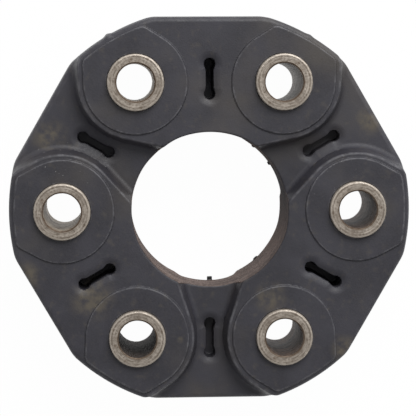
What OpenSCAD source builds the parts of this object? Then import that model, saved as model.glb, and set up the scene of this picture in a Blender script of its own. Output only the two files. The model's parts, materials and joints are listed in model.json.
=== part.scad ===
// Flexible disc coupling for a driveshaft: a moulded rubber disc with six steel bolt sleeves.
// Cord loops inside the rubber tie each sleeve to its two neighbours.
// The disc lies flat: +Z runs along the shaft, and the origin is at the middle of the disc.

/* [Sleeves] */
// Diameter of the bolt circle, through the sleeve centres
bolt_circle_d = 96; // [92:0.5:110]
// Bore of a sleeve, a clearance hole for the flange bolt
sleeve_bore_d = 12.2; // [8:0.1:14.2]
// Outside diameter of a sleeve
sleeve_od = 18.4; // [16:0.1:21]
// How far a sleeve stands proud of its rubber pad at each end
sleeve_stand = 2.1; // [0.5:0.1:4]
// Chamfer at each end of a sleeve's bore
sleeve_bore_chamfer = 0.4; // [0.1:0.1:0.8]
// Chamfer round the outside of each end of a sleeve
sleeve_rim_chamfer = 0.5; // [0.1:0.1:0.8]

/* [Cord loops] */
// Thickness of a cord loop across its winding
cord_thickness = 4; // [2.5:0.1:5]
// Height of each of the two loops in a thick link
thick_cord_h = 7; // [4:0.1:10]
// Height of the one loop in a thin link
thin_cord_h = 9; // [5:0.1:12]
// Rubber between a sleeve and the loops round it
sleeve_cover = 0.8; // [0.4:0.1:2]
// Rubber between one layer of loops and the next
layer_gap = 1.5; // [0.8:0.1:4]

/* [Rubber disc] */
// Rubber between the inner run of a loop and the centre bore
bore_cover = 2.07; // [1:0.01:5]
// Rubber between the outer run of a loop and the flat of the outline
flat_cover = 7.58; // [5:0.01:12]
// Rubber between a loop and the outline at a corner
corner_cover = 3.85; // [2.8:0.01:6]
// Rubber over the loops on the faces of a thick link
thick_face_cover = 2.3; // [1.5:0.1:5]
// Rubber over the loop on the faces of a thin link
thin_face_cover = 4.5; // [2:0.1:5.5]
// Draft of the outer wall, each way from the mould's parting line
wall_draft = 2.1; // [0.5:0.1:4]
// Rounding of the outer edges
outer_edge_r = 1.6; // [0.5:0.1:2.5]
// Rounding of the edges of the centre bore
bore_edge_r = 0.9; // [0.3:0.1:1.5]

/* [Bosses and pads] */
// Rubber between a loop and the edge of the boss round the sleeve
boss_cover = 4.3; // [3:0.1:5]
// Half width of a boss where it runs out at the centre bore
boss_run_out = 2.2; // [1:0.1:4]
// Slope of the boss wall beside a thin link
boss_slope = 14; // [6:1:18]
// Rounding of the top of the boss wall
boss_edge_r = 1; // [0.3:0.1:1.5]
// Fillet at the foot of the boss wall
boss_foot_r = 1.5; // [0.5:0.1:2]
// Width of the ledge between the pad and the edge of the boss
pad_ledge = 1.4; // [0.8:0.1:3]
// Height of the pad above the boss
pad_rise = 0.6; // [0.3:0.1:1.2]
// Rounding of the pad's edge
pad_edge_r = 0.4; // [0.1:0.1:0.5]

/* [Slots] */
// Diameter of the round lobe at each end of a slot
slot_lobe_d = 3.7; // [2.5:0.1:4.5]
// Distance between the lobe centres
slot_lobe_spacing = 9.7; // [7:0.1:12]
// Width of the slot's waist
slot_waist_w = 2.6; // [1.5:0.1:3.5]
// How far the slot's centre lies outside the line between the sleeves
slot_offset = 1.1; // [0:0.1:2]
// Rubber web that closes the slots in the middle of the disc
slot_web = 4; // [2:0.1:8]
// Width of the dish round a slot
dish_w = 1.6; // [0.5:0.1:2]
// Depth of the dish round a slot
dish_depth = 0.8; // [0.3:0.1:1.5]

/* [Hidden] */
$fn = 96;
sleeve_count = 6;
link_count = 3;
pitch_angle = 360 / sleeve_count;
half_pitch = pitch_angle / 2;
// Margin by which a cutting shape passes the surface it cuts
over = 1;
// A rounding meets the faces beside it at this angle, so that its edges are definite
meet_angle = 12;
outer_inset = outer_edge_r * cos(meet_angle);

bolt_r = bolt_circle_d / 2;
sleeve_r = sleeve_od / 2;
// Length and middle of the line between neighbouring sleeves
span = 2 * bolt_r * sin(half_pitch);
mid_r = bolt_r * cos(half_pitch);
loop_in_r = sleeve_r + sleeve_cover;
loop_out_r = loop_in_r + cord_thickness;

bore_r = mid_r - loop_out_r - bore_cover;
flat_r = mid_r + loop_out_r + flat_cover;
corner_r = bolt_r + loop_out_r + corner_cover;
boss_r = loop_out_r + boss_cover;
pad_r = boss_r - pad_ledge;

// Heights above the middle of the disc
thick_cord_z = thin_cord_h / 2 + layer_gap + thick_cord_h / 2;
thick_top = thick_cord_z + thick_cord_h / 2 + thick_face_cover;
thin_top = thin_cord_h / 2 + thin_face_cover;
pad_top = thick_top + pad_rise;
sleeve_top = pad_top + sleeve_stand;

// The boss wall slopes out to its foot; its flank runs straight to a point on the bore
boss_foot = boss_r + (thick_top - thin_top) * tan(boss_slope);
run_out_x = sqrt(pow(bore_r, 2) - pow(boss_run_out, 2)) - bolt_r;
run_out_dist = norm([run_out_x, boss_run_out]);
flank_normal = atan2(boss_run_out, run_out_x) - acos(boss_r / run_out_dist);

slot_r = mid_r + slot_offset;

// Direction of sleeve i, and of the thin and thick links, counted from 1
function sleeve_angle(i) = (i - 1) * pitch_angle;
function thin_angle(i) = half_pitch + (i - 1) * 2 * pitch_angle;
function thick_angle(i) = thin_angle(i) + pitch_angle;

// Mirrors points in X or Y and reverses their order
function flip_x(points) = [for (i = [len(points) - 1 : -1 : 0]) [-points[i].x, points[i].y]];
function flip_y(points) = [for (i = [len(points) - 1 : -1 : 0]) [points[i].x, -points[i].y]];

// Where a drafted wall stands at height z, if it is r at mid height
function wall_x(r, z) = r - z * tan(wall_draft);

// What a rounding takes off an edge whose outside is up and to the right of its centre
module edge_cut(centre, r) {
    difference() {
        translate(centre) square(2 * corner_r);
        translate(centre) circle(r = r);
    }
}

// Centre of the rounding between a face at this height and a drafted wall, r at mid height
function outer_edge(r, top) = [
    wall_x(r, top - outer_inset) - outer_inset / cos(wall_draft),
    top - outer_inset
];

// Section of all that lies outside the corners, with the edge rounded at this height
module corner_cut_section(top) {
    ends = pad_top + over;
    right = 2 * corner_r;
    polygon([
        [right, ends], [wall_x(corner_r, ends), ends], [corner_r, 0],
        [wall_x(corner_r, ends), -ends], [right, -ends]
    ]);
    for (side = [0, 1]) mirror([0, side]) edge_cut(outer_edge(corner_r, top), outer_edge_r);
}

// Section of the centre bore, with its edge rounded at this height
module bore_cut_section(top) {
    inset = bore_edge_r * cos(meet_angle);
    ends = pad_top + over;
    translate([0, -ends]) square([bore_r, 2 * ends]);
    for (side = [0, 1]) mirror([0, side]) difference() {
        translate([0, top - inset]) square([bore_r + inset, ends + inset - top]);
        translate([bore_r + inset, top - inset]) circle(r = bore_edge_r);
    }
}

// Trims its children to the corners and the centre bore, with edges rounded at this height
module trim(top) {
    difference() {
        children();
        rotate_extrude() corner_cut_section(top);
        rotate_extrude() bore_cut_section(top);
    }
}

// Section of a link from inside the bore to the drafted and rounded flat
module link_section(top) {
    ends = [wall_x(flat_r, top), top];
    difference() {
        polygon([[0, top], ends, [flat_r, 0], [ends.x, -ends.y], [0, -top]]);
        for (side = [0, 1]) mirror([0, side]) edge_cut(outer_edge(flat_r, top), outer_edge_r);
    }
}

// One link, between the lines to its two sleeves
module link(angle, top) {
    near = bore_r / 2;
    far = flat_r + over;
    rotate([0, 0, angle]) intersection() {
        rotate([90, 0, 0]) linear_extrude(height = 2 * far, center = true) link_section(top);
        linear_extrude(height = 2 * (top + over), center = true) polygon([
            [near, -near * tan(half_pitch)], [far, -far * tan(half_pitch)],
            [far, far * tan(half_pitch)], [near, near * tan(half_pitch)]
        ]);
    }
}

// Section of a boss: rounded top edge, sloping wall and filleted foot, on both faces
module boss_section() {
    inset = boss_edge_r * cos(meet_angle);
    slope_x = tan(boss_slope);
    edge = [boss_r + inset * slope_x - inset / cos(boss_slope), thick_top - inset];
    rise = boss_foot_r * cos(meet_angle);
    foot_x = boss_r + (thick_top - thin_top - rise) * slope_x + rise / cos(boss_slope);
    foot = [foot_x, thin_top + rise];
    upper = [[0, thick_top], [boss_r, thick_top], [boss_foot, thin_top]];
    difference() {
        polygon(concat(upper, flip_y(upper)));
        for (side = [0, 1]) mirror([0, side]) edge_cut(edge, boss_edge_r);
    }
    difference() {
        translate([boss_r, -foot.y]) square([foot.x - boss_r, 2 * foot.y]);
        for (side = [-1, 1]) translate([foot.x, side * foot.y]) circle(r = boss_foot_r);
    }
}

// A boss round one sleeve, with its straight flank to the bore on the thin side
module boss() {
    sector_start = -half_pitch;
    rotate([0, 0, sector_start]) rotate_extrude(angle = flank_normal - sector_start) boss_section();
    rotate([0, 0, flank_normal]) rotate([90, 0, 0]) translate([0, 0, -run_out_dist])
        linear_extrude(height = run_out_dist) boss_section();
}

// Puts its children at every sleeve, turned so that +Y is the thin side
module at_sleeves() {
    for (i = [1 : sleeve_count])
        rotate([0, 0, sleeve_angle(i)]) translate([bolt_r, 0, 0]) mirror([0, (i + 1) % 2, 0]) children();
}

// The thick level of the disc: thick links and bosses
module thick_level() {
    trim(thick_top) {
        for (i = [1 : link_count]) link(thick_angle(i), thick_top);
        at_sleeves() boss();
    }
}

// The thin level of the disc: the thin links, which meet the thick ones under the bosses
module thin_level() {
    trim(thin_top) for (i = [1 : link_count]) link(thin_angle(i), thin_top);
}

// Raised round pads that the sleeves come out of
module pads() {
    difference() {
        at_sleeves() rotate_extrude() pad_section();
        rotate_extrude() corner_cut_section(pad_top);
    }
}

module pad_section() {
    inset = pad_edge_r * cos(meet_angle);
    difference() {
        translate([0, -pad_top]) square([pad_r, 2 * pad_top]);
        for (side = [0, 1]) mirror([0, side]) edge_cut([pad_r - inset, pad_top - inset], pad_edge_r);
    }
}

// Half of a slot's section: straight walls from the web up to a dish that flares past the face
function slot_wall(half_w, top) = [
    [half_w, slot_web / 2], [half_w, top - dish_depth], [half_w + 2 * dish_w, top + dish_depth]
];

// One blind slot with its dish, cut down from a face at this height, along +X
module slot(top) {
    lobe = slot_wall(slot_lobe_d / 2, top);
    for (side = [-1, 1]) translate([side * slot_lobe_spacing / 2, 0, 0])
        rotate_extrude() polygon(concat([[0, slot_web / 2]], lobe, [[0, top + dish_depth]]));
    waist = slot_wall(slot_waist_w / 2, top);
    rotate([90, 0, 90]) linear_extrude(height = slot_lobe_spacing, center = true)
        polygon(concat(waist, flip_x(waist)));
}

// Slots on both faces of one link
module link_slots(angle, top) {
    rotate([0, 0, angle]) translate([slot_r, 0, 0]) for (side = [0, 1]) mirror([0, 0, side]) slot(top);
}

// A racetrack round the two sleeves of a link, this far from their centres
module racetrack(r) {
    for (side = [-1, 1]) translate([0, side * span / 2]) circle(r = r);
    square([2 * r, span], center = true);
}

// A loop of wound cord round the two sleeves of the link in this direction
module cord_loop(angle, z, height) {
    rotate([0, 0, angle]) translate([mid_r, 0, z])
        linear_extrude(height = height, center = true) difference() {
            racetrack(loop_out_r);
            racetrack(loop_in_r);
        }
}

module thin_link_cord(i) {
    color("tan") cord_loop(thin_angle(i), 0, thin_cord_h);
}

module thick_link_front_cord(i) {
    color("tan") cord_loop(thick_angle(i), thick_cord_z, thick_cord_h);
}

module thick_link_back_cord(i) {
    color("tan") cord_loop(thick_angle(i), -thick_cord_z, thick_cord_h);
}

// Turned steel sleeve, chamfered at both ends of its bore and rim
module sleeve(i) {
    in_r = sleeve_bore_d / 2;
    upper = [
        [in_r, sleeve_top - sleeve_bore_chamfer], [in_r + sleeve_bore_chamfer, sleeve_top],
        [sleeve_r - sleeve_rim_chamfer, sleeve_top], [sleeve_r, sleeve_top - sleeve_rim_chamfer]
    ];
    color([0.59, 0.55, 0.5]) rotate([0, 0, sleeve_angle(i)]) translate([bolt_r, 0, 0])
        rotate_extrude() polygon(concat(upper, flip_y(upper)));
}

// The moulded disc, with room for the sleeves and for the cord loops bonded inside it
module rubber_body() {
    color([0.14, 0.14, 0.15]) difference() {
        union() {
            thick_level();
            thin_level();
            pads();
        }
        at_sleeves() cylinder(h = 2 * (pad_top + over), r = sleeve_r, center = true);
        for (i = [1 : link_count]) {
            link_slots(thin_angle(i), thin_top);
            link_slots(thick_angle(i), thick_top);
            thin_link_cord(i);
            thick_link_front_cord(i);
            thick_link_back_cord(i);
        }
    }
}

rubber_body();
for (i = [1 : sleeve_count])
    sleeve(i);
for (i = [1 : link_count]) {
    thin_link_cord(i);
    thick_link_front_cord(i);
    thick_link_back_cord(i);
}
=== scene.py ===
"""Looks of the flexible disc driveshaft coupling.

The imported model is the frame. The rubber disc is meshed afresh from a distance field, so that its roundings,
fillets, cut bore and mould flash are real shapes. Each sleeve is turned again with tool marks and burrs, and
the cord loops inside the rubber keep their solids. Sizes are in millimetres until a mesh is made.
"""

import json
import logging
import math
from dataclasses import dataclass, field
from enum import Enum
from typing import Any, Callable, Dict, List, NamedTuple, Sequence, Tuple

import bpy
import numpy as np
from mathutils import Euler, Matrix, Vector


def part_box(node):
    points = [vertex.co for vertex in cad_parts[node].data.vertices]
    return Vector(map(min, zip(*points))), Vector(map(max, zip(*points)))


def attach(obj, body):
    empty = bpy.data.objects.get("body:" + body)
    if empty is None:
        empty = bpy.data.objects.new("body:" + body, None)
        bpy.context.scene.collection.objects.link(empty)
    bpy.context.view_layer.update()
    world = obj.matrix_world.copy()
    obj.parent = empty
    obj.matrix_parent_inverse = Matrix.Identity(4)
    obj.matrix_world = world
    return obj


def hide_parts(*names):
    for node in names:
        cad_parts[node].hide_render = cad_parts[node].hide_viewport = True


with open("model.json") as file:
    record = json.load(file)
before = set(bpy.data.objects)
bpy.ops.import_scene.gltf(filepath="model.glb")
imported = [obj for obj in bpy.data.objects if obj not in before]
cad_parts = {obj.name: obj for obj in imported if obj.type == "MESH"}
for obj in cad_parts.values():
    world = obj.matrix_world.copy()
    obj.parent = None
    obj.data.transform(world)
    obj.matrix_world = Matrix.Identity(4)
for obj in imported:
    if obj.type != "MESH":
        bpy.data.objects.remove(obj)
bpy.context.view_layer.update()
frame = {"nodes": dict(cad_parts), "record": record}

LOG = logging.getLogger("coupling")
BODY = "root"
MM = 0.001
SLEEVE_COUNT = 6
PITCH = 2 * math.pi / SLEEVE_COUNT

Socket = bpy.types.NodeSocket
Colour = Tuple[float, float, float, float]
Span = Tuple[float, float]
Field = Callable[[np.ndarray], np.ndarray]


def paint(red: int, green: int, blue: int) -> Colour:
    """Turns a colour as a screen shows it into the linear one that a shader takes.

    Args:
        red: Red from 0 to 255.
        green: Green from 0 to 255.
        blue: Blue from 0 to 255.

    Returns:
        Linear red, green and blue, and an alpha of 1.
    """
    shown = np.array([red, green, blue]) / 255.0
    linear = np.where(shown <= 0.04045, shown / 12.92, ((shown + 0.055) / 1.055) ** 2.4)
    return (float(linear[0]), float(linear[1]), float(linear[2]), 1.0)


def round_max(a: np.ndarray, b: np.ndarray, radius: float) -> np.ndarray:
    """Intersects two distance fields and rounds the edge where they meet.

    Args:
        a: Distances to the first shape.
        b: Distances to the second shape.
        radius: Radius of the rounding.

    Returns:
        Distances to what the shapes have in common.
    """
    corner = np.hypot(np.maximum(a + radius, 0.0), np.maximum(b + radius, 0.0))
    return np.minimum(np.maximum(a, b), -radius) + corner


def round_min(a: np.ndarray, b: np.ndarray, radius: float) -> np.ndarray:
    """Joins two distance fields with a fillet where they meet.

    Args:
        a: Distances to the first shape.
        b: Distances to the second shape.
        radius: Radius of the fillet.

    Returns:
        Distances to both shapes together.
    """
    corner = np.hypot(np.maximum(radius - a, 0.0), np.maximum(radius - b, 0.0))
    return np.maximum(np.minimum(a, b), radius) - corner


def periodic_noise(angle: np.ndarray, seed: int, lowest: int, highest: int) -> np.ndarray:
    """Makes smooth noise that closes on itself round a circle.

    Args:
        angle: Where to take the noise, in radians.
        seed: Chooses the noise.
        lowest: Fewest waves round the circle.
        highest: Most waves round the circle.

    Returns:
        Noise with a spread of about 1, one value for each angle.
    """
    random = np.random.default_rng(seed)
    waves = range(lowest, highest + 1)
    total = np.zeros_like(angle)
    for count in waves:
        total += random.normal() * np.cos(count * angle + random.uniform(0, 2 * math.pi))
    return total * math.sqrt(2.0 / len(waves))


class RecordSlot(Enum):
    """Material slots of the record."""

    RUBBER = "rubber"
    STEEL = "steel"
    CORD = "cord"


class CordLayer(Enum):
    """Families of cord loops, by the start of their nodes' names."""

    THIN = "thin_link_cord"
    THICK_FRONT = "thick_link_front_cord"
    THICK_BACK = "thick_link_back_cord"


class BoreRustAndLight(Enum):
    """How rusted a sleeve's bore is, with a painted reflection of the white floor on the lighter kinds and
    painted shade on the darker ones.
    """

    CLEAN_REFLECTING = "clean_reflecting"
    WORN_HALF_REFLECTING = "worn"
    TARNISHED_SHADED = "tarnished_shaded"
    OXIDISED_SHADED = "oxidised_shaded"


@dataclass(frozen=True)
class CouplingSizes:
    """Sizes that pieces share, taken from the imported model."""

    bolt_r: float
    bore_r: float
    corner_r: float
    flat_r: float
    pad_top: float
    sleeve_r: float
    sleeve_bore_r: float
    sleeve_top: float

    @classmethod
    def from_frame(cls, record: Dict[str, Any]) -> "CouplingSizes":
        """Reads the sizes from the record's mounts and the nodes' boxes.

        Args:
            record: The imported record.

        Returns:
            The sizes in millimetres.
        """
        dims = {mount["name"]: mount["dims"] for mount in record["mounts"]}
        rubber_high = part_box("rubber_body")[1] / MM
        sleeve_low, sleeve_high = (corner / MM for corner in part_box("sleeve_1"))
        return cls(
            bolt_r=dims["bolt_circle"]["pcd_mm"] / 2,
            bore_r=dims["centre_bore"]["r_mm"],
            corner_r=rubber_high.x,
            flat_r=rubber_high.y,
            pad_top=rubber_high.z,
            sleeve_r=(sleeve_high.x - sleeve_low.x) / 2,
            sleeve_bore_r=dims["sleeve_bore_1"]["r_mm"],
            sleeve_top=sleeve_high.z,
        )


class Noise(NamedTuple):
    """Noise in space, by the size of its blotches in millimetres, its finer detail and which part of it."""

    size: float
    detail: float = 3.0
    shift: float = 0.0


class ShaderGraph:
    """A new material and short calls that add nodes to it."""

    def __init__(self, name: str) -> None:
        """Makes the material with an empty tree and an output.

        Args:
            name: Name of the material.
        """
        self.material = bpy.data.materials.new(name)
        self.material.use_nodes = True
        self.tree = self.material.node_tree
        self.tree.nodes.clear()
        self.output = self.add("ShaderNodeOutputMaterial")

    def add(self, kind: str, **settings: Any) -> bpy.types.Node:
        """Adds a node.

        Args:
            kind: Blender's name of the node type.
            **settings: Properties of the node.

        Returns:
            The new node.
        """
        node = self.tree.nodes.new(kind)
        for key, value in settings.items():
            setattr(node, key, value)
        return node

    def join(self, source: Socket, target: Socket) -> None:
        """Links an output socket to an input socket."""
        self.tree.links.new(source, target)

    def feed(self, target: Socket, value: Any) -> None:
        """Sets a socket to a constant, or links it to another socket.

        Args:
            target: The input socket.
            value: A number, a colour or an output socket.
        """
        if isinstance(value, Socket):
            self.join(value, target)
        else:
            target.default_value = value

    def math(self, operation: str, *values: Any) -> Socket:
        """Adds a Math node.

        Args:
            operation: Blender's name of the operation.
            *values: Numbers or sockets for its inputs.

        Returns:
            The result.
        """
        node = self.add("ShaderNodeMath", operation=operation)
        for target, value in zip(node.inputs, values):
            self.feed(target, value)
        return node.outputs[0]

    def times(self, first: Any, second: Any) -> Socket:
        """Multiplies two numbers or sockets."""
        return self.math("MULTIPLY", first, second)

    def place(self) -> Socket:
        """Gives the place on the piece, in its own coordinates."""
        return self.add("ShaderNodeTexCoord").outputs["Object"]

    def split(self, vector: Socket) -> Tuple[Socket, ...]:
        """Splits a vector into its three parts."""
        node = self.add("ShaderNodeSeparateXYZ")
        self.join(vector, node.inputs[0])
        return tuple(node.outputs)

    def combine(self, *parts: Any) -> Socket:
        """Builds a vector from three numbers or sockets."""
        node = self.add("ShaderNodeCombineXYZ")
        for target, part in zip(node.inputs, parts):
            self.feed(target, part)
        return node.outputs[0]

    def radius(self, vector: Socket, x: float = 0.0, y: float = 0.0) -> Socket:
        """Gives the distance from a line along the piece's own Z axis.

        Args:
            vector: The place on the piece.
            x: Where the line is, in millimetres.
            y: Where the line is, in millimetres.

        Returns:
            The distance in metres.
        """
        across, along, _ = self.split(vector)
        across, along = self.math("SUBTRACT", across, x * MM), self.math("SUBTRACT", along, y * MM)
        squares = self.math("ADD", self.times(across, across), self.times(along, along))
        return self.math("SQRT", squares)

    def noise(self, vector: Socket, noise: Noise) -> Socket:
        """Adds noise in space.

        Args:
            vector: Where to take the noise.
            noise: Which noise.

        Returns:
            The noise, from 0 to 1.
        """
        node = self.add("ShaderNodeTexNoise", noise_dimensions="4D")
        self.join(vector, node.inputs["Vector"])
        node.inputs["W"].default_value = noise.shift
        node.inputs["Scale"].default_value = 1.0 / (noise.size * MM)
        node.inputs["Detail"].default_value = noise.detail
        return node.outputs["Fac"]

    def lines(self, value: Socket, size: float, detail: float = 3.0) -> Socket:
        """Adds noise along one value, which draws lines where the value is constant.

        Args:
            value: The value, in metres.
            size: Spacing of the lines in millimetres.
            detail: How much finer noise is added.

        Returns:
            The noise, from 0 to 1.
        """
        node = self.add("ShaderNodeTexNoise", noise_dimensions="1D")
        self.join(value, node.inputs["W"])
        node.inputs["Scale"].default_value = 1.0 / (size * MM)
        node.inputs["Detail"].default_value = detail
        return node.outputs["Fac"]

    def fade(
        self, value: Socket, start: float, end: float, low: float = 0.0, high: float = 1.0,
    ) -> Socket:
        """Maps a value smoothly from one range to another.

        Args:
            value: The value.
            start: Where the result is low.
            end: Where the result is high.
            low: Result at the start.
            high: Result at the end.

        Returns:
            The mapped value.
        """
        node = self.add("ShaderNodeMapRange", interpolation_type="SMOOTHSTEP")
        for target, setting in zip(node.inputs, (value, start, end, low, high)):
            self.feed(target, setting)
        return node.outputs[0]

    def beside(self, ring: Socket, radius: float, span: Span, high: float = 1.0) -> Socket:
        """Maps a distance from the axis smoothly, on its way past a radius.

        Args:
            ring: The distance, in metres.
            radius: The radius in millimetres.
            span: Where the result is 0 and where it is high, in millimetres outside the radius.
            high: Result at the end.

        Returns:
            The mapped distance.
        """
        start, end = ((radius + step) * MM for step in span)
        return self.fade(ring, start, end, 0.0, high)

    def mix(self, share: Any, first: Any, second: Any) -> Socket:
        """Mixes two colours.

        Args:
            share: How much of the second colour, from 0 to 1.
            first: A colour or a socket.
            second: A colour or a socket.

        Returns:
            The mixed colour.
        """
        node = self.add("ShaderNodeMix", data_type="RGBA")
        self.feed(node.inputs[0], share)
        self.feed(node.inputs[6], first)
        self.feed(node.inputs[7], second)
        return node.outputs[2]

    def bump(self, height: Socket, depth: float, under: Any = None) -> Socket:
        """Adds a bump.

        Args:
            height: The height, from 0 to 1.
            depth: How deep the bump is, in millimetres.
            under: Another bump's normal to build on.

        Returns:
            The bumped normal.
        """
        node = self.add("ShaderNodeBump")
        node.inputs["Distance"].default_value = depth * MM
        self.join(height, node.inputs["Height"])
        if under is not None:
            self.join(under, node.inputs["Normal"])
        return node.outputs["Normal"]

    def attribute(self, name: str) -> Socket:
        """Reads a number that the mesh carries at its points."""
        return self.add("ShaderNodeAttribute", attribute_name=name).outputs["Fac"]

    def surface(self, **inputs: Any) -> bpy.types.Material:
        """Ends the material in a Principled shader.

        Args:
            **inputs: Values or sockets for the shader's inputs, with spaces written as underscores.

        Returns:
            The finished material.
        """
        shader = self.add("ShaderNodeBsdfPrincipled")
        for key, value in inputs.items():
            self.feed(shader.inputs[key.replace("_", " ")], value)
        self.join(shader.outputs[0], self.output.inputs["Surface"])
        return self.material


@dataclass(frozen=True)
class Blotches:
    """Blotches that fade in where noise rises from start to end."""

    noise: Noise
    start: float
    end: float
    low: float = 0.0
    high: float = 1.0

    def share(self, graph: ShaderGraph, place: Socket) -> Socket:
        """Builds the blotches' share at a place, from low to high."""
        return graph.fade(graph.noise(place, self.noise), self.start, self.end, self.low, self.high)


@dataclass(frozen=True)
class Patch:
    """A round patch of dust or dirt on the rubber, by its middle and how far it reaches, in millimetres."""

    x: float
    y: float
    reach: float
    most: float = 1.2

    def share(self, graph: ShaderGraph, place: Socket) -> Socket:
        """Builds a number that is highest in the middle of the patch and 0 outside it."""
        return graph.fade(graph.radius(place, self.x, self.y), self.reach * MM, 0.0, 0.0, self.most)


@dataclass(frozen=True)
class RubberFinish:
    """Moulded black rubber with dust, specks, edges that are worn and painted with highlights, and the brown
    fibrous skin of the cut bore.

    A span beside the bore is in millimetres outside its radius.
    """

    deep: Colour = paint(44, 43, 49)
    plain: Colour = paint(56, 55, 62)
    dust: Colour = paint(88, 81, 70)
    # Colour of the edges: part real wear, part painted highlight.
    rubbed_and_highlit: Colour = paint(108, 107, 111)
    speck: Colour = paint(156, 154, 152)
    flash: Colour = paint(18, 17, 18)
    cut_dark: Colour = paint(66, 55, 52)
    cut_pale: Colour = paint(140, 123, 116)
    roughness: float = 0.5
    roughness_spread: float = 0.08
    wall_roughness: float = 0.85
    refraction: float = 1.48
    grain: Noise = Noise(0.45, 3.0, 1.0)
    grain_span: Span = (0.3, 0.7)
    grain_share: float = 0.4
    mottle: Blotches = Blotches(Noise(14.0, 5.0), 0.36, 0.64)
    mottle_share: float = 0.6
    swell: Noise = Noise(9.0, 2.0, 6.0)
    swell_depth: float = 0.25
    skin_depth: float = 0.045
    broad_dust: Blotches = Blotches(Noise(30.0, 4.0, 3.7), 0.5, 0.72, high=0.4)
    smudges: Blotches = Blotches(Noise(2.2, 4.0, 8.1), 0.52, 0.78, high=0.3)
    ragged: Blotches = Blotches(Noise(3.0, 5.0, 9.4), 0.3, 0.65)
    level_span: Span = (0.4, 0.8)
    most_dust: float = 0.85
    flecks: Blotches = Blotches(Noise(0.8, 1.0, 11.3), 0.7, 0.76)
    rubs_and_highlights: Blotches = Blotches(Noise(2.4, 4.0, 5.3), 0.36, 0.66, low=0.15)
    edge_span: Span = (0.12, 0.8)
    most_wear_and_highlight: float = 0.5
    wear_and_highlight_beside_bore: Span = (0.6, 1.4)
    upright_span: Span = (0.75, 0.35)
    wall_beside_bore: Span = (0.5, 0.25)
    scrap_beside_bore: Span = (-0.25, -0.45)
    ridge_spacing: float = 0.9
    ridge_share: float = 0.45
    ridge_depth: float = 0.3
    fibre: Noise = Noise(1.1, 4.0, 2.2)
    fibre_share: float = 0.3
    stains: Blotches = Blotches(Noise(11.0, 3.0, 4.9), 0.3, 0.6, 0.45, 0.85)
    stain_share: float = 0.25
    cut_span: Span = (0.38, 0.62)
    dusty: Tuple[Patch, ...] = (
        Patch(-38.5, -28.5, 9.5), Patch(19.5, -28.6, 7.0), Patch(-60.0, -21.0, 7.0), Patch(53.0, 29.0, 7.0),
        Patch(-52.0, 24.0, 8.0), Patch(44.0, -46.0, 6.0), Patch(-10.0, -42.2, 1.6),
    )
    specked: Tuple[Patch, ...] = (Patch(-48.0, 14.0, 14.0), Patch(40.0, 10.0, 13.0))
    darker_cut_patches: Tuple[Patch, ...] = (Patch(26.0, 8.0, 22.0),)

    @staticmethod
    def _near(graph: ShaderGraph, place: Socket, patches: Sequence[Patch]) -> Socket:
        """Builds the share of the patch that is strongest at a place.

        Args:
            graph: The material's tree.
            place: Where on the disc.
            patches: The patches.

        Returns:
            The share, from 0 to the most that a patch has.
        """
        share = patches[0].share(graph, place)
        for patch in patches[1:]:
            share = graph.math("MAXIMUM", share, patch.share(graph, place))
        return share

    def _dust(self, graph: ShaderGraph, place: Socket, level: Socket) -> Socket:
        """Builds the share of dust from broad blotches, smudges and patches, which lie on level faces.

        Args:
            graph: The material's tree.
            place: Where on the disc.
            level: How level the surface is, from 0 to 1.

        Returns:
            The share, from 0 to 1.
        """
        ragged = graph.times(self.ragged.share(graph, place), graph.fade(level, *self.level_span))
        patchy = graph.times(self._near(graph, place, self.dusty), ragged)
        spread = graph.math("MAXIMUM", self.broad_dust.share(graph, place), self.smudges.share(graph, place))
        return graph.math("MINIMUM", graph.math("MAXIMUM", spread, patchy), self.most_dust)

    def _wear_and_highlight(self, graph: ShaderGraph, place: Socket, clear_of_bore: Socket) -> Socket:
        """Builds the share of wear and painted highlight on the edges.

        Args:
            graph: The material's tree.
            place: Where on the disc.
            clear_of_bore: A share that is 0 on the bore's edge, which gets neither wear nor painted highlight.

        Returns:
            The share, from 0 to 1.
        """
        edge = graph.fade(graph.attribute("edge"), *self.edge_span, 0.0, self.most_wear_and_highlight)
        return graph.times(graph.times(edge, self.rubs_and_highlights.share(graph, place)), clear_of_bore)

    def _cut(self, graph: ShaderGraph, place: Socket, ridges: Socket, fibre: Socket) -> Socket:
        """Builds the colour of the bore's cut wall.

        Args:
            graph: The material's tree.
            place: Where on the disc.
            ridges: Noise of the ridges that the cut left.
            fibre: Noise of the fibres that the cut laid bare.

        Returns:
            The colour.
        """
        stain = graph.noise(place, self.stains.noise)
        lined = graph.math("ADD", graph.times(ridges, self.ridge_share), graph.times(fibre, self.fibre_share))
        pale = graph.fade(graph.math("ADD", lined, graph.times(stain, self.stain_share)), *self.cut_span)
        # The cut wall is mixed darker grey in a patch towards +X, broken up by the stain noise.
        darker_cut_share = graph.times(self._near(graph, place, self.darker_cut_patches), self.stains.share(graph, place))
        return graph.mix(darker_cut_share, graph.mix(pale, self.cut_dark, self.cut_pale), self.deep)

    def material(self, sizes: CouplingSizes) -> bpy.types.Material:
        """Builds the material.

        Args:
            sizes: Sizes of the coupling, for where the bore's wall is.

        Returns:
            The rubber material.
        """
        graph = ShaderGraph("moulded_rubber")
        place = graph.place()
        _, _, height = graph.split(place)
        _, _, facing_up = graph.split(graph.add("ShaderNodeNewGeometry").outputs["Normal"])
        level = graph.math("ABSOLUTE", facing_up)
        ring = graph.radius(place)
        grain = graph.noise(place, self.grain)
        mottle = self.mottle.share(graph, place)
        ridges = graph.lines(height, self.ridge_spacing)
        fibre = graph.noise(place, self.fibre)
        upright = graph.fade(level, *self.upright_span)
        wall = graph.times(upright, graph.beside(ring, sizes.bore_r, self.wall_beside_bore))

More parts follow.
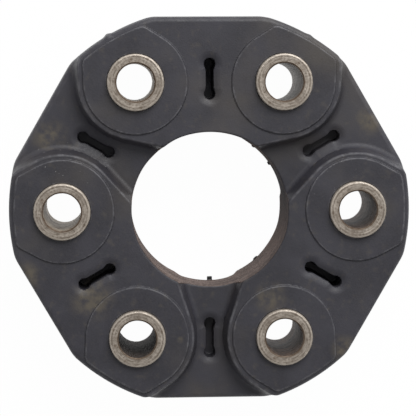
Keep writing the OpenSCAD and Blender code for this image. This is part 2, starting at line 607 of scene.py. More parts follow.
        fine_tone = graph.fade(grain, *self.grain_span, 0.0, self.grain_share)
        tone = graph.math("ADD", graph.times(mottle, self.mottle_share), fine_tone)
        colour = graph.mix(tone, self.deep, self.plain)
        colour = graph.mix(self._dust(graph, place, level), colour, self.dust)
        flecked = graph.times(self.flecks.share(graph, place), self._near(graph, place, self.specked))
        colour = graph.mix(flecked, colour, self.speck)
        clear_of_bore = graph.beside(ring, sizes.bore_r, self.wear_and_highlight_beside_bore)
        # Lightens the edges: part worn rubber, part painted highlight along the bends.
        colour = graph.mix(self._wear_and_highlight(graph, place, clear_of_bore), colour, self.rubbed_and_highlit)
        colour = graph.mix(wall, colour, self._cut(graph, place, ridges, fibre))
        scrap = graph.beside(ring, sizes.bore_r, self.scrap_beside_bore)
        colour = graph.mix(scrap, colour, self.flash)

        smooth, rough = self.roughness - self.roughness_spread, self.roughness + self.roughness_spread
        fine = graph.fade(grain, *self.grain_span, smooth, rough)
        sheen = graph.math("ADD", graph.times(mottle, self.roughness_spread), fine)
        roughness = graph.math("MAXIMUM", sheen, graph.times(wall, self.wall_roughness))
        swell = graph.bump(graph.noise(place, self.swell), self.swell_depth)
        skin = graph.bump(grain, self.skin_depth, swell)
        ridge_height = graph.times(graph.math("ADD", ridges, fibre), wall)
        normal = graph.bump(ridge_height, self.ridge_depth, skin)
        return graph.surface(Base_Color=colour, Roughness=roughness, Normal=normal, IOR=self.refraction)


@dataclass(frozen=True)
class SleeveFinish:
    """Turned steel with ring marks from the tool, a grainy film of oxide and brown spots."""

    bare: Colour = paint(188, 178, 166)
    dull: Colour = paint(117, 106, 95)
    oxide: Colour = paint(88, 68, 50)
    roughness: float = 0.45
    spot_roughness: float = 0.3
    metallic: float = 0.5
    mark_spacing: float = 0.5
    mark_detail: float = 2.0
    mark_share: float = 0.45
    mark_depth: float = 0.08
    grain: Noise = Noise(0.7, 3.0, 2.6)
    grain_share: float = 0.55
    turned_span: Span = (0.36, 0.62)
    scratch_circle: float = 0.8
    scratches: Blotches = Blotches(Noise(0.4, 4.0, 1.7), 0.52, 0.66, high=0.7)
    grooves: Blotches = Blotches(Noise(0.45, 4.0, 6.1), 0.54, 0.68, high=0.6)
    film: Blotches = Blotches(Noise(4.0, 4.0), 0.36, 0.66, high=0.45)
    spots: Blotches = Blotches(Noise(2.2, 5.0, 4.4), 0.55, 0.72, high=0.6)
    pits: Noise = Noise(0.5, 3.0, 7.7)
    pit_depth: float = 0.06
    oxide_beside_mouth: Span = (0.75, 0.3)
    mouth_oxide: float = 0.75
    wear_beside_rim: Span = (-0.7, -0.4)
    rim_wear: float = 0.5

    def material(self, sizes: CouplingSizes) -> bpy.types.Material:
        """Builds the material of the ends and the outside.

        Args:
            sizes: Sizes of the coupling, for the edges of the end faces.

        Returns:
            The steel material.
        """
        graph = ShaderGraph("turned_steel")
        place = graph.place()
        ring = graph.radius(place)
        x, y, height = graph.split(place)
        across_marks = graph.math("ADD", ring, height)
        marks = graph.lines(across_marks, self.mark_spacing, self.mark_detail)
        along = graph.math("DIVIDE", self.scratch_circle * MM, ring)
        turned_place = graph.combine(graph.times(x, along), graph.times(y, along), across_marks)
        grain = graph.noise(place, self.grain)
        spots = self.spots.share(graph, place)
        turned = graph.math("ADD", graph.times(marks, self.mark_share), graph.times(grain, self.grain_share))
        colour = graph.mix(graph.fade(turned, *self.turned_span), self.dull, self.bare)
        colour = graph.mix(self.film.share(graph, place), colour, self.dull)
        colour = graph.mix(self.scratches.share(graph, turned_place), colour, self.bare)
        colour = graph.mix(self.grooves.share(graph, turned_place), colour, self.dull)
        colour = graph.mix(spots, colour, self.oxide)
        mouth = graph.beside(ring, sizes.sleeve_bore_r, self.oxide_beside_mouth, self.mouth_oxide)
        colour = graph.mix(mouth, colour, self.oxide)
        worn = graph.beside(ring, sizes.sleeve_r, self.wear_beside_rim, self.rim_wear)
        colour = graph.mix(worn, colour, self.bare)
        roughness = graph.math("ADD", self.roughness, graph.times(spots, self.spot_roughness))
        pitted = graph.bump(graph.noise(place, self.pits), self.pit_depth)
        normal = graph.bump(turned, self.mark_depth, pitted)
        return graph.surface(Base_Color=colour, Metallic=self.metallic, Roughness=roughness, Normal=normal)


@dataclass(frozen=True)
class BoreFinish:
    """Inside of a sleeve, with ring marks and stains between two colours; the lighter kinds paint a
    reflection, the darker ones shade.
    """

    state: BoreRustAndLight
    pale: Colour
    deep: Colour
    metallic: float
    roughness: float
    mark_spacing: float = 1.1
    mark_share: float = 0.45
    mark_depth: float = 0.2
    film: Noise = Noise(3.2, 5.0, 1.9)
    film_share: float = 0.55
    film_depth: float = 0.3
    stain_span: Span = (0.4, 0.62)

    def material(self) -> bpy.types.Material:
        """Builds the material of a sleeve's bore."""
        graph = ShaderGraph("sleeve_bore_" + self.state.value)
        place = graph.place()
        _, _, height = graph.split(place)
        marks = graph.lines(height, self.mark_spacing)
        film = graph.noise(place, self.film)
        stained = graph.math("ADD", graph.times(marks, self.mark_share), graph.times(film, self.film_share))
        colour = graph.mix(graph.fade(stained, *self.stain_span), self.pale, self.deep)
        normal = graph.bump(marks, self.mark_depth, graph.bump(film, self.film_depth))
        return graph.surface(
            Base_Color=colour, Metallic=self.metallic, Roughness=self.roughness, Normal=normal,
        )


# Besides rust, the lighter bore finishes paint a reflection of the white floor and the darker ones paint
# shade.
BORE_FINISHES = (
    BoreFinish(BoreRustAndLight.CLEAN_REFLECTING, paint(190, 178, 160), paint(112, 92, 72), 0.4, 0.5),
    BoreFinish(BoreRustAndLight.WORN_HALF_REFLECTING, paint(140, 131, 122), paint(70, 57, 48), 0.3, 0.5),
    BoreFinish(BoreRustAndLight.TARNISHED_SHADED, paint(110, 90, 77), paint(48, 38, 33), 0.2, 0.6),
    BoreFinish(BoreRustAndLight.OXIDISED_SHADED, paint(70, 59, 52), paint(33, 28, 26), 0.0, 0.75),
)


@dataclass(frozen=True)
class CordFinish:
    """Tan cord wound in many turns."""

    pale: Colour = paint(190, 165, 125)
    shade: Colour = paint(120, 95, 62)
    roughness: float = 0.85
    turn: float = 0.8
    turn_span: Span = (-0.9, 0.6)
    turn_depth: float = 0.2
    fuzz: Noise = Noise(0.3)
    fuzz_depth: float = 0.05

    def material(self) -> bpy.types.Material:
        """Builds the material of a cord loop."""
        graph = ShaderGraph("wound_cord")
        place = graph.place()
        _, _, height = graph.split(place)
        wave = graph.math("SINE", graph.times(height, 2 * math.pi / (self.turn * MM)))
        turns = graph.fade(wave, *self.turn_span)
        fuzz = graph.noise(place, self.fuzz)
        colour = graph.mix(graph.times(turns, fuzz), self.shade, self.pale)
        normal = graph.bump(turns, self.turn_depth, graph.bump(fuzz, self.fuzz_depth))
        return graph.surface(Base_Color=colour, Roughness=self.roughness, Normal=normal)


@dataclass(frozen=True)
class FloorFinish:
    """Plain white floor that keeps a soft shadow."""

    white: Colour = (1.0, 1.0, 1.0, 1.0)
    lit_share: float = 0.98

    def material(self) -> bpy.types.Material:
        """Builds the floor's material."""
        graph = ShaderGraph("studio_floor")
        path = graph.add("ShaderNodeLightPath").outputs
        bounced = graph.math("MAXIMUM", path["Is Glossy Ray"], path["Is Transmission Ray"])
        seen = graph.math("MAXIMUM", path["Is Camera Ray"], bounced)
        matt = graph.add("ShaderNodeBsdfDiffuse")
        matt.inputs["Color"].default_value = self.white
        glow = graph.add("ShaderNodeEmission")
        glow.inputs["Color"].default_value = self.white
        blend = graph.add("ShaderNodeMixShader")
        graph.join(graph.times(seen, self.lit_share), blend.inputs[0])
        graph.join(matt.outputs[0], blend.inputs[1])
        graph.join(glow.outputs[0], blend.inputs[2])
        graph.join(blend.outputs[0], graph.output.inputs["Surface"])
        return graph.material


@dataclass
class SurfaceNet:
    """Meshes a distance field on an even grid and settles the points on its surface."""

    distance: Field
    low: np.ndarray
    high: np.ndarray
    cell: float
    probe: float = 0.04

    def gradient(self, points: np.ndarray) -> np.ndarray:
        """Finds the directions in which the distance grows fastest.

        Args:
            points: Places to look at, one in each row.

        Returns:
            Unit vectors, one in each row.
        """
        slopes = np.empty_like(points)
        for axis in range(3):
            step = np.zeros(3, points.dtype)
            step[axis] = self.probe
            slopes[:, axis] = self.distance(points + step) - self.distance(points - step)
        return slopes / np.maximum(np.linalg.norm(slopes, axis=1, keepdims=True), 1e-9)

    def settle(self, points: np.ndarray, steps: int) -> np.ndarray:
        """Moves points onto the surface.

        Args:
            points: Points near the surface, one in each row.
            steps: How many times each point is moved.

        Returns:
            The moved points.
        """
        for _ in range(steps):
            move = np.clip(self.distance(points), -self.cell, self.cell)
            points = points - move[:, None] * self.gradient(points)
        return points

    def bend(self, points: np.ndarray, reach: float) -> np.ndarray:
        """Measures how the surface bends: above 0 on edges, below 0 in grooves.

        Args:
            points: Points on the surface, one in each row.
            reach: How far to look, in millimetres.

        Returns:
            One number for each point.
        """
        total = -6.0 * self.distance(points)
        for axis in range(3):
            step = np.zeros(3, points.dtype)
            step[axis] = reach
            total += self.distance(points + step) + self.distance(points - step)
        return total / reach

    def mesh(self) -> Tuple[np.ndarray, np.ndarray]:
        """Builds the points and the four-sided faces of the surface.

        Returns:
            The points, and the indices of each face's points.
        """
        axes = [
            np.arange(low, high + self.cell, self.cell, dtype=np.float32)
            for low, high in zip(self.low, self.high)
        ]
        across = np.stack(np.meshgrid(axes[0], axes[1], indexing="ij"), axis=-1).reshape(-1, 2)
        shape = (len(axes[0]), len(axes[1]))
        layers = []
        for height in axes[2]:
            layer = np.column_stack([across, np.full(len(across), height, np.float32)])
            layers.append(self.distance(layer).reshape(shape) < 0)
        inside = np.stack(layers, axis=-1)
        count = np.zeros([n - 1 for n in inside.shape], np.uint8)
        for i in (slice(0, -1), slice(1, None)):
            for j in (slice(0, -1), slice(1, None)):
                for k in (slice(0, -1), slice(1, None)):
                    count += inside[i, j, k]
        active = (count > 0) & (count < 8)
        index = np.full(active.shape, -1, np.int32)
        index[active] = np.arange(np.count_nonzero(active))
        origin = np.array([axis[0] for axis in axes])
        points = (origin + (np.argwhere(active) + 0.5) * self.cell).astype(np.float32)
        faces = np.concatenate([self._faces(inside, index, axis) for axis in range(3)])
        return self.settle(points, 3), faces

    @staticmethod
    def _faces(inside: np.ndarray, index: np.ndarray, axis: int) -> np.ndarray:
        """Builds the faces that cross the grid lines along one axis.

        Args:
            inside: Which grid points are inside.
            index: Number of each cell's point.
            axis: The axis.

        Returns:
            The indices of each face's points, turned to face outward.
        """
        order = (axis, (axis + 1) % 3, (axis + 2) % 3)
        solid, number = inside.transpose(order), index.transpose(order)
        near = solid[:-1, 1:-1, 1:-1]
        i, j, k = np.nonzero(near != solid[1:, 1:-1, 1:-1])
        outward = near[i, j, k]
        faces = np.stack([
            number[i, j, k], number[i, j + 1, k], number[i, j + 1, k + 1], number[i, j, k + 1],
        ], axis=1)
        return np.where(outward[:, None], faces, faces[:, ::-1])


def new_piece(name: str, points: np.ndarray, faces: np.ndarray) -> bpy.types.Object:
    """Makes a mesh object of four-sided faces.

    Args:
        name: Name of the object.
        points: Its points in millimetres, one in each row.
        faces: Indices of each face's points.

    Returns:
        The object, linked to the scene.
    """
    mesh = bpy.data.meshes.new(name)
    mesh.vertices.add(len(points))
    mesh.vertices.foreach_set("co", (points * MM).astype(np.float32).ravel())
    mesh.loops.add(faces.size)
    mesh.loops.foreach_set("vertex_index", faces.astype(np.int32).ravel())
    mesh.polygons.add(len(faces))
    mesh.polygons.foreach_set("loop_start", np.arange(0, faces.size, 4, dtype=np.int32))
    mesh.update(calc_edges=True)
    mesh.validate()
    piece = bpy.data.objects.new(name, mesh)
    bpy.context.scene.collection.objects.link(piece)
    return piece


@dataclass(frozen=True)
class FlashTab:
    """A scrap of flash left on the wall of the bore, as a block with round edges."""

    angle: float
    height: float
    reach: float
    width: float
    depth: float
    edge_r: float = 0.15

    def distance(self, points: np.ndarray, wall_r: float) -> np.ndarray:
        """Gives the distances to the scrap.

        Args:
            points: Points in millimetres, one in each row.
            wall_r: Radius of the wall that carries it.

        Returns:
            The distances.
        """
        turn = math.radians(self.angle)
        out = points[:, 0] * math.cos(turn) + points[:, 1] * math.sin(turn)
        along = points[:, 1] * math.cos(turn) - points[:, 0] * math.sin(turn)
        over = np.stack([
            np.abs(out - wall_r) - self.reach,
            np.abs(along) - self.width / 2,
            np.abs(points[:, 2] - self.height) - self.depth / 2,
        ], axis=1) + self.edge_r
        outside = np.linalg.norm(np.maximum(over, 0.0), axis=1)
        return outside + np.minimum(over.max(axis=1), 0.0) - self.edge_r


class SectorPoints(NamedTuple):
    """Points folded into the sector of one sleeve, in millimetres.

    Each lies u out along the sleeve's direction, v towards the thin link and h above the middle of the disc.
    """

    u: np.ndarray
    v: np.ndarray
    h: np.ndarray
    sleeve: np.ndarray


@dataclass
class RubberDisc:
    """The moulded rubber disc with bosses, pads, links, slots, cut bore and flash."""

    sizes: CouplingSizes
    finish: RubberFinish = field(default_factory=RubberFinish)
    thick_top: float = 15.3
    thin_top: float = 9.0
    wall_draft: float = 2.1
    parting_ridge: float = 0.12
    parting_ridge_w: float = 0.5
    outline_blend: float = 0.5
    outer_edge_r: float = 1.6
    bore_edge_r: float = 0.5
    boss_r: float = 18.5
    shoulder_angle: float = 62.0
    boss_run_out: float = 2.6
    boss_slope: float = 14.0
    boss_edge_r: float = 0.6
    boss_foot_r: float = 1.5
    pad_ledge: float = 1.6
    pad_edge_r: float = 0.4
    pad_corner_r: float = 1.0
    pad_foot_r: float = 0.2
    slot_r: float = 42.67
    slot_lobe_r: float = 1.85
    slot_lobe_spacing: float = 9.7
    slot_waist_w: float = 2.6
    slot_web: float = 4.0
    slot_fillet_r: float = 0.6
    dish_w: float = 1.6
    dish_depth: float = 0.8
    dish_edge_r: float = 0.35
    lip_r: float = 0.3
    bore_wander: float = 0.07
    bore_ripple: float = 0.03
    ripple_rate: float = 4.1
    ripple_sway: float = 3.0
    corner_nibs: Tuple[float, ...] = (0.0, 0.3, 0.55, 0.0, 0.0, 0.0)
    nib_w: float = 1.1
    flash: Tuple[FlashTab, ...] = (
        FlashTab(angle=272.0, height=-8.0, reach=1.3, width=1.7, depth=0.8),
        FlashTab(angle=33.5, height=-8.2, reach=0.5, width=1.3, depth=0.8),
        FlashTab(angle=51.0, height=-8.2, reach=0.45, width=1.4, depth=0.8),
        FlashTab(angle=312.0, height=-14.4, reach=0.5, width=1.6, depth=0.8),
    )
    flash_foot_r: float = 0.15
    cell: float = 0.45
    triangles: int = 190000
    large_face: float = 0.8
    inset_rise: float = 0.6
    most_inset: float = 0.8
    most_inset_share: float = 0.9
    slot_margin: float = 0.4
    bend_reach: float = 0.6

    @staticmethod
    def _fold(points: np.ndarray) -> SectorPoints:
        """Folds points into the sector of one sleeve.

        Args:
            points: Points in millimetres, one in each row.

        Returns:
            The folded points.
        """
        ring = np.hypot(points[:, 0], points[:, 1])
        angle = np.arctan2(points[:, 1], points[:, 0])
        sleeve = np.round(angle / PITCH)
        local = (angle - sleeve * PITCH) * np.where(sleeve % 2 == 0, 1.0, -1.0)
        number = sleeve.astype(int) % SLEEVE_COUNT
        return SectorPoints(ring * np.cos(local), ring * np.sin(local), np.abs(points[:, 2]), number)

    def _outline(self, at: SectorPoints) -> np.ndarray:
        """Gives the distances to the drafted outer wall.

        Args:
            at: The folded points.

        Returns:
            The distances.
        """
        u, v, h, sleeve = at
        beside_ridge = 1 - np.exp(-((h / self.parting_ridge_w) ** 2))
        inset = h * math.tan(math.radians(self.wall_draft)) + self.parting_ridge * beside_ridge
        nib = np.array(self.corner_nibs)[sleeve] * np.exp(-((v / self.nib_w) ** 2))
        flat = u * math.cos(PITCH / 2) + np.abs(v) * math.sin(PITCH / 2) - self.sizes.flat_r + inset
        corner = np.hypot(u, v) - self.sizes.corner_r + inset - nib
        blend = self.outline_blend
        return np.maximum(flat, corner) + np.maximum(blend - np.abs(flat - corner), 0.0) ** 2 / (4 * blend)

    def _round_shoulder(self, x: np.ndarray, side: np.ndarray) -> np.ndarray:
        """Gives the distances from a sleeve's axis to a round wall that runs out straight to the outline.

        Args:
            x: How far outside the sleeve's axis.
            side: How far beside the sleeve's axis.

        Returns:
            Distances that are even along the wall.
        """
        turn = math.radians(self.shoulder_angle)
        straight = x * math.cos(turn) + side * math.sin(turn)
        outside = x * math.sin(turn) - side * math.cos(turn) > 0
        return np.where(outside, straight, np.hypot(x, side))

    def _boss(self, at: SectorPoints) -> np.ndarray:
        """Gives the distances, seen from above, to the thick half of a sector and the boss.

        Args:
            at: The folded points.

        Returns:
            The distances at the top of the boss.
        """
        run_x = math.sqrt(self.sizes.bore_r ** 2 - self.boss_run_out ** 2) - self.sizes.bolt_r
        run = math.hypot(run_x, self.boss_run_out)
        normal = math.atan2(self.boss_run_out, run_x) - math.acos(self.boss_r / run)
        x, v = at.u - self.sizes.bolt_r, at.v
        flank = x * math.cos(normal) + v * math.sin(normal)
        along = v * math.cos(normal) - x * math.sin(normal)
        boss = np.where(along > 0, flank, self._round_shoulder(x, v)) - self.boss_r
        return np.minimum(boss, v)

    def _levels(self, at: SectorPoints) -> np.ndarray:
        """Gives the distances to the links, bosses and pads, without the outline and the bore.

        Args:
            at: The folded points.

        Returns:
            The distances.
        """
        u, v, h, _ = at
        slope = math.radians(self.boss_slope)
        wall = (self._boss(at) - (self.thick_top - h) * math.tan(slope)) * math.cos(slope)
        thick = round_max(h - self.thick_top, wall, self.boss_edge_r)
        body = round_min(thick, h - self.thin_top, self.boss_foot_r)
        drafted = self.thick_top * math.tan(math.radians(self.wall_draft))
        pad_limit = self.sizes.corner_r - drafted - self.pad_ledge
        around = self._round_shoulder(u - self.sizes.bolt_r, np.abs(v)) - (self.boss_r - self.pad_ledge)
        plan = round_max(around, np.hypot(u, v) - pad_limit, self.pad_corner_r)
        pad = round_max(h - self.sizes.pad_top, plan, self.pad_edge_r)
        return round_min(body, pad, self.pad_foot_r)

    def _slots(self, at: SectorPoints) -> np.ndarray:
        """Gives the distances to the blind slots and their dishes.

        Args:
            at: The folded points.

        Returns:
            The distances.
        """
        u, v, h, _ = at
        out = np.abs(u * math.cos(PITCH / 2) + np.abs(v) * math.sin(PITCH / 2) - self.slot_r)
        side = np.abs(u * math.sin(PITCH / 2) - np.abs(v) * math.cos(PITCH / 2))
        half = self.slot_lobe_spacing / 2
        lobe = np.hypot(out - half, side) - self.slot_lobe_r
        waist = np.maximum(out - half, side - self.slot_waist_w / 2)
        plan = round_min(lobe, waist, self.slot_fillet_r)
        top = np.where(v > 0, self.thin_top, self.thick_top)
        flare = self.dish_w / self.dish_depth
        dish = (plan - flare * (h - top + self.dish_depth)) / math.hypot(1.0, flare)
        dish = np.maximum(dish, h - top - self.dish_depth)
        return np.minimum(round_max(plan, self.slot_web / 2 - h, self.slot_fillet_r), dish)

    def _bore(self, points: np.ndarray) -> np.ndarray:
        """Gives the distances to the solid outside the cut bore.

        Args:
            points: Points in millimetres, one in each row.

        Returns:
            The distances.
        """
        angle = np.arctan2(points[:, 1], points[:, 0])
        wander = self.bore_wander * periodic_noise(angle, seed=11, lowest=3, highest=14)
        sway = self.ripple_sway * np.sin(angle * 2)
        ripple = self.bore_ripple * np.sin(points[:, 2] * self.ripple_rate + sway)
        return self.sizes.bore_r + (wander + ripple) - np.hypot(points[:, 0], points[:, 1])

    def distance(self, points: np.ndarray) -> np.ndarray:
        """Gives the distances to the rubber's surface, below 0 inside.

        Args:
            points: Points in millimetres, one in each row.

        Returns:
            The distances.
        """
        at = self._fold(points)
        body = round_max(self._levels(at), self._outline(at), self.outer_edge_r)
        body = round_max(body, self._bore(points), self.bore_edge_r)
        for tab in self.flash:
            body = round_min(body, tab.distance(points, self.sizes.bore_r), self.flash_foot_r)
        body = round_max(body, -self._slots(at), self.dish_edge_r)
        hole = self.sizes.sleeve_r - np.hypot(at.u - self.sizes.bolt_r, at.v)
        return round_max(body, hole, self.lip_r)

    def build(self) -> bpy.types.Object:
        """Meshes the disc in place of the plain one.

        Returns:
            The disc.
        """
        reach = np.array([self.sizes.corner_r, self.sizes.flat_r, self.sizes.pad_top])
        net = SurfaceNet(self.distance, -reach - 2 * self.cell, reach + 2 * self.cell, self.cell)
        fine = new_piece("fine_disc", *net.mesh())
        thin_out = fine.modifiers.new("thin_out", "DECIMATE")
        thin_out.ratio = min(1.0, self.triangles / (2 * len(fine.data.polygons)))
        evaluated = fine.evaluated_get(bpy.context.evaluated_depsgraph_get())
        mesh = bpy.data.meshes.new_from_object(evaluated)
        mesh.name = "rubber_disc"
        bpy.data.objects.remove(fine)

        self._shade(mesh, net)
        disc = bpy.data.objects.new("rubber_disc", mesh)
        bpy.context.scene.collection.objects.link(disc)
        self.dress(disc)
        return disc

    def _shade(self, mesh: bpy.types.Mesh, net: SurfaceNet) -> None:
        """Settles the thinned-out mesh and gives its corners the field's own normals and bend.

        A large flat face takes them a little inside each corner, so that no rounding beside it shades it.
        The slots get neither wear nor painted highlight, so the bend is left out there.

        Args:
            mesh: The mesh, which is changed.
            net: The field that it was made from.
        """
        points = np.empty(len(mesh.vertices) * 3, np.float32)
        mesh.vertices.foreach_get("co", points)
        points = net.settle(points.reshape(-1, 3) / np.float32(MM), 2)
        mesh.vertices.foreach_set("co", (points * np.float32(MM)).ravel())
        mesh.shade_smooth()

        corner_point = np.empty(len(mesh.loops), np.int32)
        mesh.loops.foreach_get("vertex_index", corner_point)
        sides = np.empty(len(mesh.polygons), np.int32)
        mesh.polygons.foreach_get("loop_total", sides)
        face = np.repeat(np.arange(len(sides)), sides)
        corners = points[corner_point]
        middle = np.stack([np.bincount(face, corners[:, axis]) for axis in range(3)], axis=1) / sides[:, None]
        inward = middle[face].astype(np.float32) - corners
        length = np.linalg.norm(inward, axis=1)
        widest = np.zeros(len(sides), np.float32)
        np.maximum.at(widest, face, length)
        inset = np.clip(self.inset_rise * (widest[face] - self.large_face), 0.0, self.most_inset)
        share = np.minimum(inset / np.maximum(length, 1e-6), self.most_inset_share)
        probes = net.settle(corners + inward * share[:, None], 1)
        clear_of_slots = np.clip(self._slots(self._fold(probes)) - self.slot_margin, 0.0, 1.0)
        edge = mesh.attributes.new("edge", "FLOAT", "CORNER")
        bend = net.bend(probes, self.bend_reach) * clear_of_slots
        edge.data.foreach_set("value", bend.astype(np.float32))
        mesh.normals_split_custom_set(net.gradient(probes))

    def dress(self, disc: bpy.types.Object) -> None:
        """Gives the disc its finish and its place in the frame."""
        disc.data.materials.clear()
        disc.data.materials.append(self.finish.material(self.sizes))
        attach(disc, BODY)
        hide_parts("rubber_body")


@dataclass
class TurnedSleeve:
    """One steel sleeve, turned on a lathe, with burrs left on its edges."""

    sizes: CouplingSizes
    number: int
    bore_rust_and_light: BoreRustAndLight
    bore_chamfer: float = 0.4
    rim_chamfer: float = 0.5
    burr: float = 0.05
    burr_inset: float = 0.3
    burr_w: float = 0.25
    burr_rise: float = 0.45
    rim_wear: float = 1.2
    rim_softness: float = 0.3
    rim_margin: float = 0.1
    rim_seed: int = 100
    mouth_nicks: float = 0.8
    mouth_margin: float = 0.2
    mouth_seed: int = 200
    side_from: float = 1.2
    sharp_angle: float = 30.0
    turn_apart: float = 0.83
    segments: int = 160

    def _half_profile(self) -> List[Tuple[float, float]]:
        """Gives the upper half of the section, from the bore over the end to the outside."""
        top, inner, outer = self.sizes.sleeve_top - self.burr, self.sizes.sleeve_bore_r, self.sizes.sleeve_r
        wall = [(inner, height) for height in np.linspace(0.0, top - self.bore_chamfer, 6)]
        soft = self.rim_chamfer * self.rim_softness
        flat_from, flat_to = inner + self.bore_chamfer, outer - self.rim_chamfer
        face = [(radius, top) for radius in np.linspace(flat_from, flat_to, 8)]
        rim = [(outer - soft, top - soft), (outer, top - self.rim_chamfer)]
        side = [(outer, height) for height in np.linspace(top - self.side_from, 0.0, 5)]
        return wall + face + rim + side

    def build(self) -> bpy.types.Object:
        """Makes the sleeve in place of the plain one.

        Returns:
            The sleeve.
        """
        half = np.array(self._half_profile())
        lower = half[-2:0:-1] * (1, -1)
        section = np.concatenate([half, lower])
        angle = np.linspace(0, 2 * math.pi, self.segments, endpoint=False)
        radius = np.repeat(section[:, :1], self.segments, axis=1)
        height = np.repeat(section[:, 1:], self.segments, axis=1)
        from_rim = radius - self.sizes.sleeve_r + self.burr_inset
        from_mouth = radius - self.sizes.sleeve_bore_r - self.burr_inset
        depth = self.sizes.sleeve_top - np.abs(height)
        rim = np.exp(-((from_rim / self.burr_w) ** 2)) * (depth < self.rim_chamfer - self.rim_margin)
        mouth = np.exp(-((from_mouth / self.burr_w) ** 2)) * (depth < self.bore_chamfer + self.mouth_margin)
        rough = periodic_noise(angle, self.rim_seed + self.number, lowest=4, highest=40)
        nicked = periodic_noise(angle, self.mouth_seed + self.number, lowest=4, highest=30)
        radius = radius + self.burr * (rim * (rough - self.rim_wear) - self.mouth_nicks * mouth * nicked)
        height = height + np.sign(height) * self.burr * self.burr_rise * rim * np.clip(rough, -2.0, 2.0)
        points = np.stack([radius * np.cos(angle), radius * np.sin(angle), height], axis=-1).reshape(-1, 3)

        rows, columns = len(section), self.segments
        row, column = np.meshgrid(np.arange(rows), np.arange(columns), indexing="ij")
        below, beside = (row + 1) % rows, (column + 1) % columns
        faces = np.stack([
            row * columns + column, below * columns + column,
            below * columns + beside, row * columns + beside,
        ], axis=-1).reshape(-1, 4)
        sleeve = new_piece(f"turned_sleeve_{self.number}", points, faces)
        middle = (section[:, 0] + np.roll(section[:, 0], -1)) / 2
        in_bore = np.repeat(middle < self.sizes.sleeve_bore_r + self.bore_chamfer / 2, columns)
        sleeve.data.polygons.foreach_set("material_index", in_bore.astype(np.int32))
        sleeve.data.shade_smooth()
        sleeve.data.set_sharp_from_angle(angle=math.radians(self.sharp_angle))
        turn = (self.number - 1) * PITCH
        sleeve.location = Vector((math.cos(turn), math.sin(turn), 0.0)) * self.sizes.bolt_r * MM
        sleeve.rotation_euler = (0.0, 0.0, self.number * self.turn_apart)
        return sleeve

    def dress(
        self, sleeve: bpy.types.Object, steel: bpy.types.Material, bores: Dict[BoreRustAndLight, bpy.types.Material],
    ) -> None:
        """Gives the sleeve its finishes and its place in the frame.

        Args:
            sleeve: The sleeve.
            steel: Finish of the ends and the outside.
            bores: Finishes of bores by their rust and painted light.
        """
        sleeve.data.materials.append(steel)
        sleeve.data.materials.append(bores[self.bore_rust_and_light])
        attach(sleeve, BODY)
        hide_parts(f"sleeve_{self.number}")


@dataclass
class CordLoops:
    """The cord loops inside the rubber, which keep their solids."""

    finish: CordFinish = field(default_factory=CordFinish)

    def dress(self, nodes: Dict[str, bpy.types.Object]) -> int:
        """Gives each loop the cord finish.

        Args:
            nodes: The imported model's nodes by name.

        Returns:
            How many loops there are.
        """
        material = self.finish.material()
        starts = tuple(layer.value for layer in CordLayer)
        loops = [node for name, node in nodes.items() if name.startswith(starts)]
        for loop in loops:
            for held in loop.material_slots:
                held.material = material
        return len(loops)


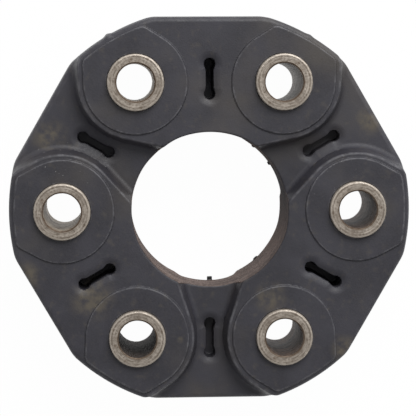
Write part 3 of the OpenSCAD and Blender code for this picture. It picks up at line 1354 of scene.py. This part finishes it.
@dataclass
class Studio:
    """Floor, lamps, surroundings and camera."""

    sizes: CouplingSizes
    floor_size: float = 4.0
    surround: float = 0.42
    key_place: Tuple[float, float, float] = (0.27, 0.75, 0.72)
    key_size: float = 0.9
    key_power: float = 11.2
    camera_place: Tuple[float, float, float] = (-31.30, 44.62, 579.87)
    camera_turn: Tuple[float, float, float] = (-4.4336, -3.1313, -0.2464)
    focal_px: float = 1746.8
    frame_px: float = 416.0
    centre_px: float = 0.5

    def floor(self) -> bpy.types.Object:
        """Lays the floor under the sleeves.

        Returns:
            The floor.
        """
        half = self.floor_size / 2 / MM
        level = -self.sizes.sleeve_top
        sides = ((-half, -half), (half, -half), (half, half), (-half, half))
        corners = np.array([(x, y, level) for x, y in sides])
        floor = new_piece("studio_floor", corners, np.array([[0, 1, 2, 3]]))
        floor.data.materials.append(FloorFinish().material())
        return floor

    def lights(self) -> None:
        """Sets the soft key lamp and the even light all round."""
        lamp = bpy.data.lights.new("key", "AREA")
        lamp.shape = "DISK"
        lamp.size = self.key_size
        lamp.energy = self.key_power
        key = bpy.data.objects.new("key", lamp)
        key.location = self.key_place
        key.rotation_euler = (-Vector(self.key_place)).to_track_quat("-Z", "Y").to_euler()
        bpy.context.scene.collection.objects.link(key)

        world = bpy.data.worlds.new("surround")
        world.use_nodes = True
        nodes, links = world.node_tree.nodes, world.node_tree.links
        path = nodes.new("ShaderNodeLightPath")
        seen = nodes.new("ShaderNodeMath")
        seen.operation = "MAXIMUM"
        links.new(path.outputs["Is Camera Ray"], seen.inputs[0])
        links.new(path.outputs["Is Transmission Ray"], seen.inputs[1])
        strength = nodes.new("ShaderNodeMapRange")
        links.new(seen.outputs[0], strength.inputs["Value"])
        strength.inputs["To Min"].default_value = self.surround
        background = nodes["Background"]
        background.inputs["Color"].default_value = (1.0, 1.0, 1.0, 1.0)
        links.new(strength.outputs["Result"], background.inputs["Strength"])
        bpy.context.scene.world = world

    def camera(self) -> None:
        """Sets the camera as the photograph's, above the middle of the disc."""
        lens = bpy.data.cameras.new("camera")
        lens.lens = lens.sensor_width * self.focal_px / self.frame_px
        lens.clip_start = 0.05
        lens.shift_x = -self.centre_px / self.frame_px
        lens.shift_y = self.centre_px / self.frame_px
        camera = bpy.data.objects.new("camera", lens)
        turn = Euler([math.radians(angle) for angle in self.camera_turn], "XYZ").to_matrix().to_4x4()
        camera.matrix_world = Matrix.Translation(Vector(self.camera_place) * MM) @ turn
        bpy.context.scene.collection.objects.link(camera)
        bpy.context.scene.camera = camera

    def build(self) -> None:
        """Sets up the whole studio."""
        self.floor()
        self.lights()
        self.camera()
        bpy.context.scene.view_settings.view_transform = "Standard"


def main() -> None:
    """Builds the coupling's pieces in order and sets up the studio."""
    logging.basicConfig(level=logging.INFO, format="%(name)s: %(message)s")
    sizes = CouplingSizes.from_frame(frame["record"])
    Studio(sizes).build()
    LOG.info("studio ready")

    disc = RubberDisc(sizes).build()
    LOG.info("%s: %d triangles", disc.name, len(disc.data.polygons))

    steel = SleeveFinish().material(sizes)
    bores = {finish.state: finish.material() for finish in BORE_FINISHES}
    # Each sleeve's bore finish from sleeve 1 on: rust, with painted reflection in the lighter ones and painted
    # shade in the darker ones.
    bore_rust_and_lights = (
        BoreRustAndLight.TARNISHED_SHADED, BoreRustAndLight.WORN_HALF_REFLECTING, BoreRustAndLight.CLEAN_REFLECTING,
        BoreRustAndLight.CLEAN_REFLECTING, BoreRustAndLight.OXIDISED_SHADED, BoreRustAndLight.TARNISHED_SHADED,
    )
    for number, state in enumerate(bore_rust_and_lights, start=1):
        turned = TurnedSleeve(sizes, number, state)
        sleeve = turned.build()
        turned.dress(sleeve, steel, bores)
        LOG.info("%s: %s bore", sleeve.name, state.value)

    LOG.info("cord loops: %d", CordLoops().dress(frame["nodes"]))


if __name__ == "__main__":
    main()
